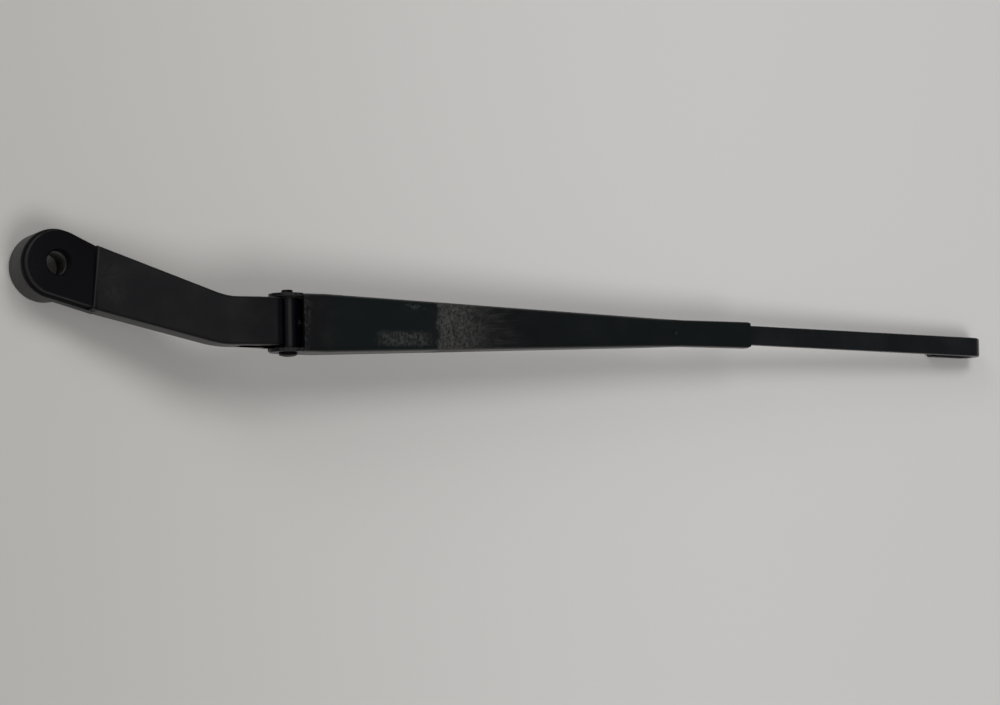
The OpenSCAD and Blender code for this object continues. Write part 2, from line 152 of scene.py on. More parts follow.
# A painted, plated or plastic surface in Object coordinates, counted in millimetres
def surface(name, look, marksOf=None):
    material = bpy.data.materials.get(name) or bpy.data.materials.new(name)
    material.use_nodes = True
    tree = material.node_tree
    tree.nodes.clear()
    point = Wire(tree).node("TexCoord", out=3).stretched(1000, 1000, 1000)
    broad = point.noise(look["patch"], 5, 0.6)
    fine = point.noise(look["grain"], 3, 0.6)
    streak = point.stretched(0.25, 3, 3).noise(look["streak"], 3, 0.6)
    colour = broad.rise(0.35, 0.7).mix(look["dark"], look["light"])
    rough = broad * look["roughSpread"] + (look["rough"] - look["roughSpread"] / 2)
    film = (broad.rise(0.48, 0.72) * streak.rise(0.4, 0.7) + fine.rise(0.58, 0.75) * 0.5) * look["dust"]
    cells = point.node("TexVoronoi", {"Vector": point, "Scale": look["dotScale"]})
    dots = cells.rise(0.16, 0.07) * point.noise(look["dotScale"] * 0.35, 2).rise(0.56, 0.66) * look["dots"]
    dust = film.most(dots)
    metal = look["metal"]
    # On the head, the marks' tint is a painted shade, and their dust also holds a painted highlight and a painted
    # reflection
    if marksOf:
        marks = marksOf(point)
        colour = marks["tint"].mix(colour, look["tint"])
        dust = dust.most(marks["dust"])
        rough = rough + marks["rough"]
        if "bare" in marks:
            metal = marks["bare"] * look["bareMetal"]
            colour = marks["bare"].mix(colour, look["bare"])
    colour = dust.mix(colour, look["dustColour"])
    rough = rough + dust * look["dustRough"]
    height = fine * look["fineBump"] + broad * look["broadBump"] + dust * 0.15
    bump = point.node("Bump", {"Height": height, "Strength": look["bump"], "Distance": look["bumpDepth"] * mm})
    shader = point.node("BsdfPrincipled", {"Base Color": colour, "Specular IOR Level": look["specular"],
                                           "Roughness": rough, "Normal": bump, "Metallic": metal})
    point.node("OutputMaterial", {"Surface": shader})
    return material


# Black satin paint: scales in millimetres, colours as linear values, tint where a surface is greener, and on the
# head a painted shade
paintBase = {
    "dark": (0.0035, 0.0037, 0.0045, 1), "light": (0.0075, 0.0075, 0.0082, 1), "tint": (0.0042, 0.0066, 0.0066, 1),
    "patch": 0.055, "grain": 1.3, "streak": 0.4, "rough": 0.3, "roughSpread": 0.1, "specular": 0.25, "metal": 0.0,
    "dust": 0.06, "dotScale": 0.55, "dots": 0.12, "dustColour": (0.075, 0.073, 0.07, 1), "dustRough": 0.3,
    "fineBump": 0.5, "broadBump": 0.4, "bump": 0.3, "bumpDepth": 0.05,
}

# Where the retainer's top is worn, in millimetres along the part, or across it where the name ends in Y
sheetWear = {
    "warp": 9, "scuffStart": (166, 169.5), "scuffEnd": (202, 174), "scuffDust": 0.68, "scuffFilm": 0.09,
    "fadeStart": (170, 190), "fadeEnd": (218, 186), "fadeDust": 0.28,
    "patch": (139, 163), "patchY": 32, "patchDust": 0.52, "specks": (152, 160), "specksY": 17.5, "specksDust": 0.6,
    "hingeEdge": (108, 101), "hingeDust": 0.35, "nearTint": (116, 168), "farTint": (190, 240),
}


def retainerMarks(point):
    w = sheetWear
    warp = point.noise(0.28, 3, 0.6) * w["warp"]
    x = point.axis(0) + warp - w["warp"] / 2
    y = point.axis(1) + warp * 0.3 - 1.3
    blots = point.stretched(1, 0.7, 1).noise(0.9, 5, 0.75)
    worn = blots.rise(0.36, 0.66)
    streak = point.stretched(0.25, 3, 3).noise(paintBase["streak"], 3, 0.6)
    scuff = x.rise(*w["scuffStart"]) * x.rise(*w["scuffEnd"]) * (worn * w["scuffDust"] + w["scuffFilm"])
    fading = x.rise(*w["fadeEnd"]) * x.rise(*w["fadeStart"]) * streak.rise(0.42, 0.7) * w["fadeDust"]
    patch = x.band(*w["patch"], 3.5) * (y + w["patchY"]).size().rise(4.5, 1.5) * worn * w["patchDust"]
    specks = x.band(*w["specks"], 2) * (y + w["specksY"]).size().rise(2.2, 0.6) * blots.rise(0.5, 0.62)
    edge = x.rise(*w["hingeEdge"]) * blots.rise(0.42, 0.68) * w["hingeDust"]
    tint = x.band(*w["nearTint"], 5) * 0.9 + x.rise(*w["farTint"]) * 0.7
    dust = scuff.most(fading).most(patch).most(specks * w["specksDust"]).most(edge)
    return {"dust": dust, "rough": scuff * 0.15, "tint": tint}


# Where the head is dusty or bare, and where shade and a highlight are painted on it, in millimetres from the spindle
# axis and the boss base
headWear = {
    "smudge": (18, 26), "smudgeY": 9, "smudgeDust": 0.09, "stepX": 16.3, "stepLean": 0.086, "stepZ": (24, 24.2),
    "stepDust": 0.2, "seatShadeX": (16.6, 16.1), "seatShadeZ": (23, 23.5), "wallX": (16.5, 16), "wallZ": (18.1, 23.6),
    "bossR": (14.2, 14.6), "bossZ": (18, 16.5), "bossX": (20, 16), "bossDustAndSheen": 0.3, "bossFilm": 0.05,
    "highlightX": (95.8, 97.3), "highlightZ": (44, 44.6), "highlightAmount": 0.22, "barrelShadeX": (89.8, 106), "barrelShadeZ": (38, 40),
    "boreR": (6.0, 5.9), "boreZ": (18.5, 16),
}


def headMarks(point):
    w = headWear
    x = point.axis(0)
    y = point.axis(1)
    z = point.axis(2)
    radial = point.node("VectorMath", {0: point.stretched(1, 1, 0)}, 1, operation="LENGTH")
    blots = point.noise(0.5, 5, 0.7)
    smudge = x.band(*w["smudge"], 3.5) * (y + w["smudgeY"]).size().rise(11, 5) * blots.rise(0.38, 0.66)
    step = (x - y * w["stepLean"] - w["stepX"]).size().rise(0.9, 0.3) * z.rise(*w["stepZ"]) * w["stepDust"]
    # Painted shade: the raised seat gets the near-black, bluer tint, so it reads darker than the ramp
    seat = x.rise(*w["seatShadeX"]) * z.rise(*w["seatShadeZ"])
    wall = x.rise(*w["wallX"]) * z.band(*w["wallZ"], 0.1)
    # Dust flecks and film on the boss's side wall, made heavy enough to also paint in the table light that the wall
    # reflects
    boss = radial.rise(*w["bossR"]) * z.rise(*w["bossZ"]) * x.rise(*w["bossX"])
    flecks = point.stretched(3, 3, 0.6).noise(0.6, 4, 0.7).rise(0.4, 0.65)
    # A painted highlight: a thin light dust-coloured line along the top of the hinge barrel
    paintedHighlight = x.band(*w["highlightX"], 0.3) * z.rise(*w["highlightZ"]) * w["highlightAmount"]
    # Painted shade: the top of the hinge barrel and the stop lugs beside it get the same near-black tint, as shade
    # in the hinge gap
    barrel = x.band(*w["barrelShadeX"], 0.5) * z.rise(*w["barrelShadeZ"])
    bare = radial.rise(*w["boreR"]) * z.rise(*w["boreZ"])
    # The head's dust mask also carries the painted highlight on the barrel and the painted reflection on the boss
    # wall
    dust = (smudge * w["smudgeDust"]).most(step).most(boss * (flecks * w["bossDustAndSheen"] + w["bossFilm"])).most(paintedHighlight)
    return {"dust": dust, "rough": bare * 0.3 + boss * 0.1 + wall * 0.3, "tint": seat.most(barrel), "bare": bare}


# The head's tint is a painted shade on the seat and in the hinge gap
headPaint = surface("head_paint", {**paintBase, "patch": 0.07, "dust": 0.03, "specular": 0.2,
                                   "dark": (0.0055, 0.0056, 0.0066, 1), "light": (0.0088, 0.0087, 0.0093, 1),
                                   "tint": (0.0008, 0.0007, 0.0018, 1), "bare": (0.34, 0.335, 0.33, 1),
                                   "bareMetal": 0.3}, headMarks)
sheetPaint = surface("sheet_paint", paintBase, retainerMarks)
barPaint = surface("bar_paint", {**paintBase, "dust": 0.04, "rough": 0.28, "dark": (0.0058, 0.007, 0.0082, 1),
                                 "light": (0.0088, 0.0105, 0.0112, 1)})
pinPaint = surface("pin_steel", {**paintBase, "dust": 0.03, "rough": 0.36, "specular": 0.12,
                                 "dark": (0.0018, 0.0018, 0.002, 1), "light": (0.0034, 0.0034, 0.0036, 1)})
plainSteel = {
    **paintBase, "dark": (0.2, 0.195, 0.19, 1), "light": (0.33, 0.32, 0.31, 1), "rough": 0.36, "metal": 0.95,
    "dustColour": (0.12, 0.09, 0.06, 1), "dust": 0.35, "dots": 0.4,
}
surface("plated_steel", plainSteel)  # the anchor pin
springSteel = surface("spring_steel", {**plainSteel, "dust": 0.5, "patch": 0.2})
linkSteel = surface("link_steel", {**paintBase, "rough": 0.5, "dust": 0.05, "specular": 0.12,
                                   "dark": (0.011, 0.011, 0.0105, 1), "light": (0.02, 0.0195, 0.018, 1)})
surface("bush_plastic", {**paintBase, "rough": 0.55, "dark": (0.05, 0.048, 0.04, 1),
                         "light": (0.08, 0.077, 0.065, 1)})  # both hinge bushes
print("materials made")

# The arm's own frame: X along it from the hinge axis, turned by its slope
arm = {"reach": 97.4, "offset": 25.9, "hinge": 40.0, "rise": 8.0, "barReach": 372.8, "hookR": 4.0, "barT": 4.0,
       "barZ": 4.45}
arm["hookX"] = arm["barReach"] - arm["hookR"] - arm["barT"]
arm["hookZ"] = arm["barZ"] - arm["hookR"] - arm["barT"] / 2
arm["slope"] = math.degrees(math.asin((arm["hinge"] + arm["hookZ"] - arm["hookR"] - arm["barT"]) / arm["hookX"]))


# From the arm's own frame to the part's
def toPart(x, y, z):
    x, z = turned(x, z, -arm["slope"])
    return arm["reach"] + x, -arm["offset"] + y, arm["hinge"] + z


# The spring as one wire, from the link's eye to the hole in the bar's tongue
spring = {"wireR": 1.1, "coilR": 3.2, "eyeR": 3.2, "eyePlay": 0.2, "linkL": 22.0, "pitch": 0.96, "endShare": 0.55,
          "anchor": (-4.46025, -8.0465), "tongue": (145.0, 1.3), "hookSweep": 330, "hookSteps": 25,
          "turnSteps": 20, "growSteps": 14, "wireSides": 10}


# The wire's centre line: near hook, coil, far hook, counted along the line of pull
def springPath(start, end):
    s = spring
    turns = round((end - start) / (2 * s["wireR"] * s["pitch"]))
    sweep = [s["hookSweep"] * i / s["hookSteps"] for i in range(s["hookSteps"] + 1)]
    hook = []
    for a in sweep[::-1]:
        a = math.radians(180 - s["hookSweep"] + a)
        hook.append((start - s["wireR"] - s["eyeR"] - s["eyeR"] * math.cos(math.pi - a), s["eyeR"] * math.sin(a), 0))
    path = [(x, y, z) for x, y, z in hook if x < start - s["wireR"] * 0.9 or abs(y) > 0.4]
    steps = turns * s["turnSteps"]
    for i in range(steps + 1):
        a = math.tau * i / s["turnSteps"] + math.pi / 2
        r = s["coilR"] * min(1, s["endShare"] + i / s["growSteps"], s["endShare"] + (steps - i) / s["growSteps"])
        path.append((start + (end - start) * i / steps, -r * math.cos(a), r * math.sin(a)))
    for a in sweep:
        a = math.radians(180 - a)
        path.append((end + s["wireR"] + s["eyeR"] + s["eyeR"] * math.cos(a), 0, s["eyeR"] * math.sin(a)))
    return [Vector(p) for p in path]


def springWire():
    s = spring
    ax, az = turned(*s["anchor"], arm["slope"])
    length = math.hypot(s["tongue"][0] - ax, s["tongue"][1] - az)
    lean = math.degrees(math.atan2(s["tongue"][1] - az, s["tongue"][0] - ax))
    hookL = s["eyePlay"] + 2 * s["eyeR"] + s["wireR"]
    points = springPath(s["linkL"] + hookL, length - hookL)
    rings = []
    side = Vector((0, 1, 0))
    for k, p in enumerate(points):
        along = (points[min(k + 1, len(points) - 1)] - points[max(k - 1, 0)]).normalized()
        side = (side - along * side.dot(along)).normalized()
        other = along.cross(side)
        ring = []
        for i in range(s["wireSides"]):
            a = math.tau * i / s["wireSides"]
            q = p + (side * math.cos(a) + other * math.sin(a)) * s["wireR"]
            x, z = turned(q.x, q.z, lean)
            ring.append(toPart(ax + x, q.y, az + z))
        rings.append(ring)
    bm = bmesh.new()
    skin(bm, rings)
    made = finished(bm, "spring_wire", springSteel, "link", 60)
    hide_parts("tension_spring")


springWire()
print("spring made")


# Booleans with exact solids, which are removed once they are used
def combined(base, others, operation):
    for other in others:
        change = base.modifiers.new("join", "BOOLEAN")
        change.operation = operation
        change.object = other
        change.solver = "EXACT"
    graph = bpy.context.evaluated_depsgraph_get()
    mesh = bpy.data.meshes.new_from_object(base.evaluated_get(graph))
    base.modifiers.clear()
    base.data = mesh
    for other in others:
        bpy.data.objects.remove(other)


def sharpened(made):
    made.data.shade_smooth()
    made.data.set_sharp_from_angle(angle=math.radians(35))


def rounded(made, width):
    edge = made.modifiers.new("edge", "BEVEL")
    edge.width = width * mm
    edge.segments = 2
    edge.limit_method = "ANGLE"
    edge.angle_limit = math.radians(60)
    edge.harden_normals = True
    edge.use_clamp_overlap = True


# A body for a Boolean, or one that is given its own body later
def solid(bm, name, material):
    return finished(bm, name, material, None)


# A plate across the hinge: its outline is seen from the side, about the hinge axis
def plate(outline, thickness, y, name, material, slope=0.0):
    bm = bmesh.new()
    verts = []
    for x, z in outline:
        x, z = turned(x, z, -slope)
        verts.append(bm.verts.new(Vector((arm["reach"] + x, -arm["offset"] + y - thickness / 2,
                                          arm["hinge"] + z)) * mm))
    face = bm.faces.new(verts)
    grown = bmesh.ops.extrude_face_region(bm, geom=[face])
    bmesh.ops.translate(bm, verts=[v for v in grown["geom"] if isinstance(v, bmesh.types.BMVert)],
                        vec=(0, thickness * mm, 0))
    return solid(bm, name, material)


# A cylinder across the arm, with y counted from the arm's centre line
def crossCylinder(x, z, radius, length, y, name, material, steps=64):
    bm = bmesh.new()
    bmesh.ops.create_cone(bm, cap_ends=True, segments=steps, radius1=radius * mm, radius2=radius * mm,
                          depth=length * mm)
    bm.transform(Matrix.Translation(Vector((x, -arm["offset"] + y, z)) * mm) @ Matrix.Rotation(math.pi / 2, 4, "X"))
    return solid(bm, name, material)


def arc(cx, cz, radius, start, end, steps):
    return [(cx + radius * math.cos(math.radians(start + (end - start) * i / steps)),
             cz + radius * math.sin(math.radians(start + (end - start) * i / steps))) for i in range(steps + 1)]


# The cast head; outlines across the hinge are counted from the hinge axis
head = {"bossR": 15.1, "bossH": 24.0, "seatStep": 6.0, "ledgeW": 1.3, "seatReach": 16.3, "seatAngle": 4.9,
        "seatEdge": 0.3, "ledgeEdge": (0.35, 0.4), "coverStep": 1.9, "footPast": 1.5, "footBevel": 0.6,
        "threadR": 5.35, "threadBevel": 0.6, "taperR": 6.3, "taperTop": 5.5, "taperH": 15.0, "teeth": 48,
        "toothH": 0.2, "neckW": 21.5, "neckL": 29.5, "nearBack": 2, "plateDrop": 0.2, "rampBack": 8,
        "blend": 20.0, "bend": 5.0, "neckH": 14.0, "foot": 12.0, "edge": 1.5, "farTuck": 1.3, "nearTuck": 0.6,
        "seatTuck": 0.15, "neckInset": 0.6, "endBack": 5.2, "station": 2.0,
        "wall": 2.6, "skin": 3.0, "cavityStart": 18.6, "ribT": 1.8, "ribH": 5.0, "ribPlaces": (0.38, 0.58),
        "barrelR": 5.25, "bushR": 3.55, "anchorR": 1.75, "lugR": 4.35, "lugOut": 0.4,
        "stopSlot": 2.7, "stopIn": 0.15,
        "web": [(-15.2, 5), (-5.2, 5), (-5.2, 3), (0, 0), (-3.2, -3.6), (-6, -1.8)],
        "stop": [(0, 0), (4.4, -1.5), (6.5, -7), (8.5, -10.6), (13.5, -10.8), (13.5, -5.5), (9.5, -2), (9.5, 5.9),
                 (9.2, 6.2), (7.1, 6.2), (6.8, 5.9), (4.4, 1.5)]}
head["plateZ"] = arm["hinge"] + arm["rise"] - head["plateDrop"]
head["rampEnd"] = arm["reach"] - head["neckL"] - head["rampBack"]
head["ramp"] = (head["plateZ"] - head["bossH"] - head["coverStep"]) / (
    head["rampEnd"] - head["seatReach"] + head["blend"] / 2)
head["end"] = arm["reach"] - head["endBack"]


# One side of the head in plan, from its touch on the boss to the neck's corner; turn is 1 for the far side
def headLine(turn, seat=False):
    cx = arm["reach"] - head["neckL"] - (0 if turn > 0 else head["nearBack"])
    cy = -arm["offset"] + turn * head["neckW"] / 2 + (0 if turn > 0 else head["neckInset"])
    tuck = head["seatTuck"] if seat else head["farTuck"] if turn > 0 else head["nearTuck"]
    r = head["bossR"] - tuck
    a = math.atan2(cy, cx) + turn * math.acos(r / math.hypot(cx, cy))
    start = (r * math.cos(a), r * math.sin(a))
    return start, (cx, cy), (cy - start[1]) / (cx - start[0])


# Where one side of the head stands at x: a straight, a rounded bend, then the neck
def headSide(x, turn):
    start, end, slope = headLine(turn)
    if x < end[0] - head["bend"]:
        return end[1] + slope * (x - end[0])
    if x > end[0] + head["bend"]:
        return end[1]
    return end[1] - slope * (x - end[0] - head["bend"]) ** 2 / (4 * head["bend"])


# The top of the ramp, which rounds over into the plate at the hinge
def headTop(x):
    h = head
    if x < h["rampEnd"]:
        return h["bossH"] + h["coverStep"] + h["ramp"] * (x - h["seatReach"])
    if x > h["rampEnd"] + h["blend"]:
        return h["plateZ"]
    return h["plateZ"] - h["ramp"] * (x - h["rampEnd"] - h["blend"]) ** 2 / (2 * h["blend"])


# The lower edge of the side walls, which rises from the boss to the neck
def headLow(x):
    h = head
    rise = h["plateZ"] - h["neckH"] - h["foot"]
    return max(h["foot"], min(h["plateZ"] - h["neckH"],
                              h["foot"] + rise * (x - h["bossR"]) / (h["rampEnd"] + 6 - h["bossR"])))


# One section across the head, with its upper edges rounded
def headRing(x, low, top, side, edge, steps=7):
    near = corner(headSide(x, -1) + side, top, edge, edge, -1, steps)
    far = corner(headSide(x, 1) - side, top, edge, edge, 1, steps)[::-1]
    return [(x, y, z) for y, z in [(near[0][0], low)] + near + far + [(far[-1][0], low)]]


# The boss and the foot of the ramp in plan, drawn in by an inset
def footRing(inset, z, steps=72):
    (nearStart, _, nearSlope), (farStart, _, farSlope) = headLine(-1), headLine(1, True)
    begin = math.degrees(math.atan2(farStart[1], farStart[0]))
    finish = math.degrees(math.atan2(nearStart[1], nearStart[0])) + 360
    ring = [(x, y, z) for x, y in arc(0, 0, head["bossR"] - inset, begin, finish, steps)]
    x = head["seatReach"] + head["footPast"]
    ring.append((x, headSide(x, -1) + inset * math.hypot(1, nearSlope), z))
    ring.append((x, farStart[1] + farSlope * (x - farStart[0]) - inset * math.hypot(1, farSlope), z))
    return ring


# The outer shell from the boss to the hinge, and what is cut from it: the space behind the step, and the cavity
def headShell():
    h = head
    stations = [h["foot"]]
    while stations[-1] < h["end"] - 3:
        stations.append(stations[-1] + h["station"])
    rings = [headRing(x, headLow(x), headTop(x), 0, h["edge"]) for x in stations]
    for back, inset in ((0.6, 0.0), (0.18, 0.18), (0.0, 0.6)):  # the rounded end at the hinge
        x = h["end"] - back
        rings.append([(x, y, z - (inset if z > h["plateZ"] - 2 else 0))
                      for x, y, z in headRing(x, headLow(x), headTop(x), inset, h["edge"])])
    bm = bmesh.new()
    skin(bm, rings)
    base = solid(bm, "cast_head", headPaint)

    bm = bmesh.new()
    bmesh.ops.create_cube(bm, size=1)
    bm.transform(Matrix.Translation(Vector((h["seatReach"], 0, h["bossH"] - h["seatStep"])) * mm)
                 @ Matrix.Rotation(-math.radians(h["seatAngle"]), 4, "Z")
                 @ Matrix.Translation(Vector((-20, 0, 20)) * mm) @ Matrix.Diagonal((40 * mm, 120 * mm, 40 * mm, 1)))
    behind = solid(bm, "behind", headPaint)
    bm = bmesh.new()
    inside = [h["cavityStart"]] + [x for x in stations if x > 21] + [h["end"] + 1]
    skin(bm, [headRing(x, headLow(x) - 8, headTop(x) - h["skin"], h["wall"], 1.2, 5) for x in inside])
    combined(base, [behind, solid(bm, "cavity", headPaint)], "DIFFERENCE")
    return base


# The foot that the ramp stands on, the round boss, and the raised seat
def bossParts():
    h = head
    ledge = h["bossH"] - h["seatStep"]
    made = []
    bm = bmesh.new()
    skin(bm, [footRing(i, z) for i, z in [(0, h["foot"])] + corner(0, ledge, *h["ledgeEdge"], -1, 6)])
    made.append(solid(bm, "foot", headPaint))
    bm = bmesh.new()
    spun(bm, [(0, 0), (h["bossR"] - h["footBevel"], 0), (h["bossR"] - 0.2, 0.2), (h["bossR"], h["footBevel"]),
              (h["bossR"], h["foot"]), (0, h["foot"])], 120)
    made.append(solid(bm, "boss", headPaint))
    bm = bmesh.new()
    skin(bm, [footRing(h["ledgeW"] + i, z) for i, z in
              [(0, ledge - 1)] + corner(0, h["bossH"], h["seatEdge"], h["seatEdge"], -1, 4)])
    made.append(solid(bm, "seat", headPaint))
    return made


# The barrel, the web behind it, the cheeks that hold the anchor pin, and the two stop lugs
def hingeParts(ax, az):
    h = head
    half = h["neckW"] / 2
    made = [crossCylinder(arm["reach"], arm["hinge"], h["barrelR"], h["neckW"], 0, "barrel", headPaint),
            plate(h["web"], h["neckW"] - 2 * h["neckInset"], 0, "web", headPaint)]
    cheek = [(-22.2, -5.6), (ax - 3.4, az - 2.8), (ax + 3.2, az - 3), (4.2, -3), (0, 0), (-5.2, 3), (-22.2, 3)]
    thick = h["wall"] + h["lugOut"]
    for side in (-1, 1):
        y = side * (half - h["neckInset"] - h["wall"] / 2 - 0.2)
        made.append(plate(cheek, thick, y, "cheek", headPaint))
        made.append(crossCylinder(arm["reach"] + ax, arm["hinge"] + az, h["lugR"], thick, y, "lug", headPaint))
        made.append(plate(h["stop"], half - h["stopIn"] - h["stopSlot"] / 2,
                          side * (half - h["stopIn"] + h["stopSlot"] / 2) / 2, "stop", headPaint, arm["slope"]))
    return made


# Ribs stand under the skin, so they are cut to the space left by the cavity
def ribParts():
    h = head
    depth = h["skin"] + h["ribH"]
    made = []
    for place in h["ribPlaces"]:
        start = place * arm["reach"]
        bm = bmesh.new()
        skin(bm, [[(x, a, z - 1), (x, b, z - 1), (x, b, z - depth), (x, a, z - depth)]
                  for x, a, b, z in [(x, headSide(x, -1) + 1, headSide(x, 1) - 1, headTop(x))
                                     for x in (start, start + h["ribT"])]])
        made.append(solid(bm, "rib", headPaint))
    bm = bmesh.new()
    lean = -arm["offset"] / h["rampEnd"]
    rings = []
    for i in range(24):
        x = 17 + h["station"] * i
        a, b, z = lean * x - h["ribT"] / 2, lean * x + h["ribT"] / 2, headTop(x)
        rings.append([(x, a, z - 1), (x, b, z - 1), (x, b, z - depth), (x, a, z - depth)])
    skin(bm, rings)
    made.append(solid(bm, "rib", headPaint))
    return made


# The thread hole, the serrated taper, and the two holes across the hinge
def boreParts(ax, az):
    h = head
    mouth = h["threadR"] + h["threadBevel"]
    bm = bmesh.new()
    spun(bm, [(0, 8), (h["threadR"], 8), (h["threadR"], h["bossH"] - 0.5), (mouth, h["bossH"] + 0.1),
              (mouth, h["bossH"] + 1), (0, h["bossH"] + 1)], 96)
    thread = solid(bm, "thread", headPaint)
    rings = []
    for z, r, depth in ((-0.5, h["taperR"] + 0.55, 0.0), (0.5, h["taperR"] + 0.05, 0.0),
                        (0.9, h["taperR"] - 0.05, h["toothH"]), (h["taperH"], h["taperTop"] + 0.1, h["toothH"])):
        ring = []
        for i in range(2 * h["teeth"]):
            a = math.pi * i / h["teeth"]
            reach = r + (depth if i % 2 else -depth)
            ring.append((reach * math.cos(a), reach * math.sin(a), z))
        rings.append(ring)
    bm = bmesh.new()
    skin(bm, rings)
    long = h["neckW"] + 2
    return [thread, solid(bm, "taper", headPaint),
            crossCylinder(arm["reach"], arm["hinge"], h["bushR"], long, 0, "bore", headPaint),
            crossCylinder(arm["reach"] + ax, arm["hinge"] + az, h["anchorR"], long, 0, "hole", headPaint, 32)]


def castHead():
    ax, az = spring["anchor"]
    base = headShell()
    combined(base, bossParts() + hingeParts(ax, az), "UNION")
    combined(base, ribParts(), "UNION")
    combined(base, boreParts(ax, az), "DIFFERENCE")
    sharpened(base)
    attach(base, "head")
    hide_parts("arm_head")


castHead()
print("head made")

# The folded retainer, in the arm's frame: a deep channel at the hinge that closes round the bar at its far end
sheet = {"t": 1.5, "rise": arm["rise"], "start": 4.3, "taper": 16.0, "channel": 150.0, "crimp": 198.0, "end": 235.0,
         "wideHalf": 12.7, "crimpHalf": 6.05, "lowWide": -10.0, "lowChannel": -2.3, "crimpH": 7.1, "crimpPlay": 0.05,
         "fold": 2.4, "crimpFold": 0.82, "closing": (14, 1), "lip": 0.3, "lipR": 0.9, "seam": 1.0,
         "earR": 8.2, "earTop": 5.5, "stakeD": 4.0, "stakeBack": 5, "pinR": 2.5, "edge": 0.18}


# A smooth step from 0 at a to 1 at b
def ease(a, b, t):
    t = max(0.0, min(1.0, (t - a) / (b - a)))
    return t * t * (3 - 2 * t)


# A value read off straight lines between the points
def along(x, points):
    for (x0, v0), (x1, v1) in zip(points, points[1:]):
        if x <= x1:
            return v0 + (v1 - v0) * max(0, x - x0) / (x1 - x0)
    return points[-1][1]


# One section of the sheet: half of its middle line, from the top down, mirrored and given its thickness
def sheetRing(x):
    s = sheet
    t = s["t"]
    half = along(x, [(s["taper"], s["wideHalf"]), (s["crimp"], s["crimpHalf"]), (s["end"], s["crimpHalf"])]) - t / 2
    low = along(x, [(s["start"], -s["earR"]), (s["taper"], s["lowWide"]), (s["channel"], s["lowChannel"]),
                    (s["crimp"], s["rise"] - s["crimpH"] + s["crimpPlay"])])
    bend = ease(s["crimp"] - s["closing"][0], s["crimp"] - s["closing"][1], x)
    top = s["rise"] - t / 2
    r = (s["fold"] * (1 - bend) + s["fold"] * 0.6 * bend) - t / 2
    path = [(0, top, 0, 1)]
    for i in range(7):
        a = math.pi / 2 * i / 6
        path.append((half - r + r * math.sin(a), top - r + r * math.cos(a), math.sin(a), math.cos(a)))
    y, z = half, top - r
    foldR = s["crimpFold"]
    drop = s["lipR"] * (1 - bend) + (foldR + t / 2) * bend
    flange = s["lip"] * (1 - bend) + (s["crimpHalf"] - t / 2 - s["seam"] / 2 - foldR) * bend
    curve = (s["lipR"] - s["lip"]) * (1 - bend) + foldR * math.pi / 2 * bend
    moves = [(0, (z - low - drop) / 4)] * 4
    moves += [(math.pi / 2 * bend * (i + 0.5) / 6, curve / 6) for i in range(6)]
    for turn, step in moves + [(math.pi / 2 * bend, flange)]:
        y -= step * math.sin(turn)
        z -= step * math.cos(turn)
        path.append((y, z, math.cos(turn), -math.sin(turn)))
    right = [((y, z), (ny, nz)) for y, z, ny, nz in path]
    left = [((-y, z), (-ny, nz)) for (y, z), (ny, nz) in right[1:]]
    whole = left[::-1] + right
    outer = [(y + ny * t / 2, z + nz * t / 2) for (y, z), (ny, nz) in whole]
    inner = [(y - ny * t / 2, z - nz * t / 2) for (y, z), (ny, nz) in whole[::-1]]
    return [toPart(x, y, z) for y, z in outer + inner]


def foldedSheet():
    s = sheet
    closing = int(s["crimp"] - s["closing"][0])
    stations = [s["start"], 6, 8, 10, 13, 16, 19] + list(range(24, closing - 3, 6))
    stations += list(range(closing + 1, closing + 14)) + [199, 204, 210, 218, 226, 231, s["end"]]
    bm = bmesh.new()
    skin(bm, [sheetRing(x) for x in stations])
    made = solid(bm, "folded_sheet", sheetPaint)
    half = s["wideHalf"] - s["t"] / 2
    ear = arc(0, 0, s["earR"], 58.4, 270, 40)
    ear += [(s["start"], -s["earR"]), (s["start"] + 1, -s["earR"] - 0.1), (s["start"] + 1, s["earTop"]),
            (s["start"], s["earTop"])]
    ears = [plate(ear, s["t"], side * half, "ear", sheetPaint, arm["slope"]) for side in (-1, 1)]
    combined(made, ears, "UNION")
    cuts = [crossCylinder(arm["reach"], arm["hinge"], s["pinR"], 40, 0, "hole", sheetPaint, 48)]
    for side in (-1, 1):
        bm = bmesh.new()
        bmesh.ops.create_cube(bm, size=1.0 * mm)
        bm.transform(Matrix.Translation(Vector(toPart(s["end"], side * s["crimpHalf"], 4)) * mm)
                     @ Matrix.Rotation(math.pi / 4, 4, "Z") @ Matrix.Diagonal((1, 1, 20, 1)))
        cuts.append(solid(bm, "notch", sheetPaint))
    bm = bmesh.new()
    bmesh.ops.create_uvsphere(bm, u_segments=32, v_segments=20, radius=s["stakeD"] / 2 * mm)
    stake = Vector(toPart(s["crimp"] - s["stakeBack"], 0, s["rise"] + s["stakeD"] * 0.35))
    bm.transform(Matrix.Translation(stake * mm))
    cuts.append(solid(bm, "stake", sheetPaint))
    combined(made, cuts, "DIFFERENCE")
    sharpened(made)
    rounded(made, s["edge"])
    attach(made, "arm")
    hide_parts("retainer")


foldedSheet()
print("retainer made")

# The bar, from its thin tongue inside the retainer to the tail of its hook
bar = {"w": 9.0, "t": arm["barT"], "edge": 0.9, "z": arm["barZ"], "tongueX": spring["tongue"][0],
       "tongueZ": spring["tongue"][1], "tongueT": 2.2, "tongueEnd": 3.7, "step": (5.5, 11), "stepPitch": 24,
       "set": 1.1, "free": 236.0, "tail": 15.9, "holeR": 2.0, "endEdge": (0.3, 0.35)}


